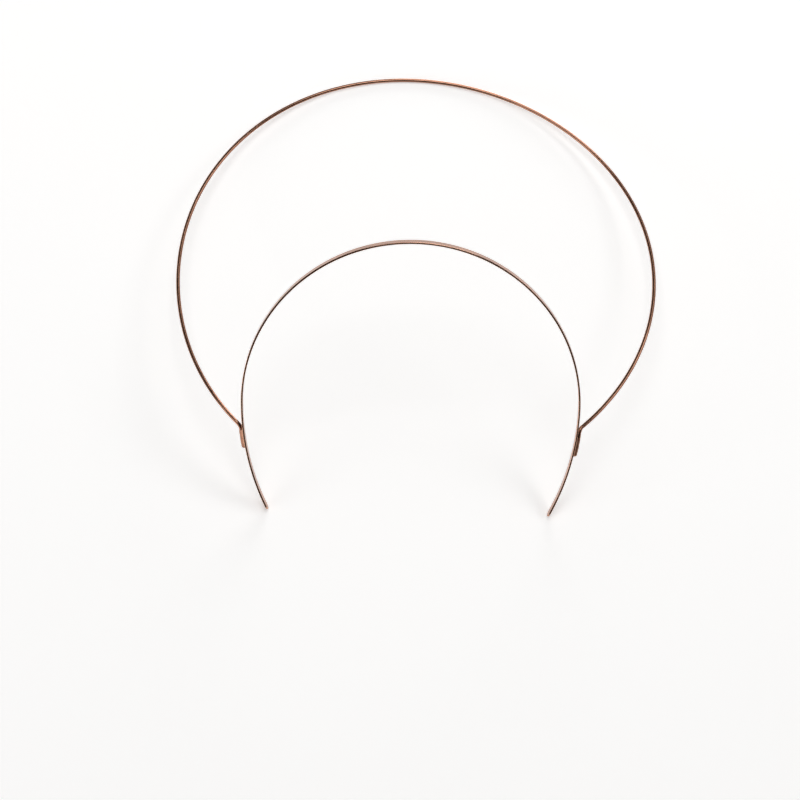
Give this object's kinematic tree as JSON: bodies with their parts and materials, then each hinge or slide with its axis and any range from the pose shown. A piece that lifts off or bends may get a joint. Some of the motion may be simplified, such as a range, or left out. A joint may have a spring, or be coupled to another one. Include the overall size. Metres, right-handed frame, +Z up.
{
  "type": "halo headband",
  "caption": "Slim metal hair band with an open ring of round wire rising behind it as a halo, lying on its back as it rests on a table.",
  "frame": {"origin": "on the surface it lies on, under the middle of its bounding box", "axes": "+Z up from the surface, +X to the right as seen from the front of the headband, +Y from the band's tips towards the ring's top, which lies at the back"},
  "size_m": [0.25, 0.2484, 0.0955],
  "materials": {
    "rose_gold_plated_steel": "polished rose-gold plating on steel wire and strip"
  },
  "bodies": {
    "root": {"halo_headband": "rose_gold_plated_steel"}
  },
  "joints": []
}
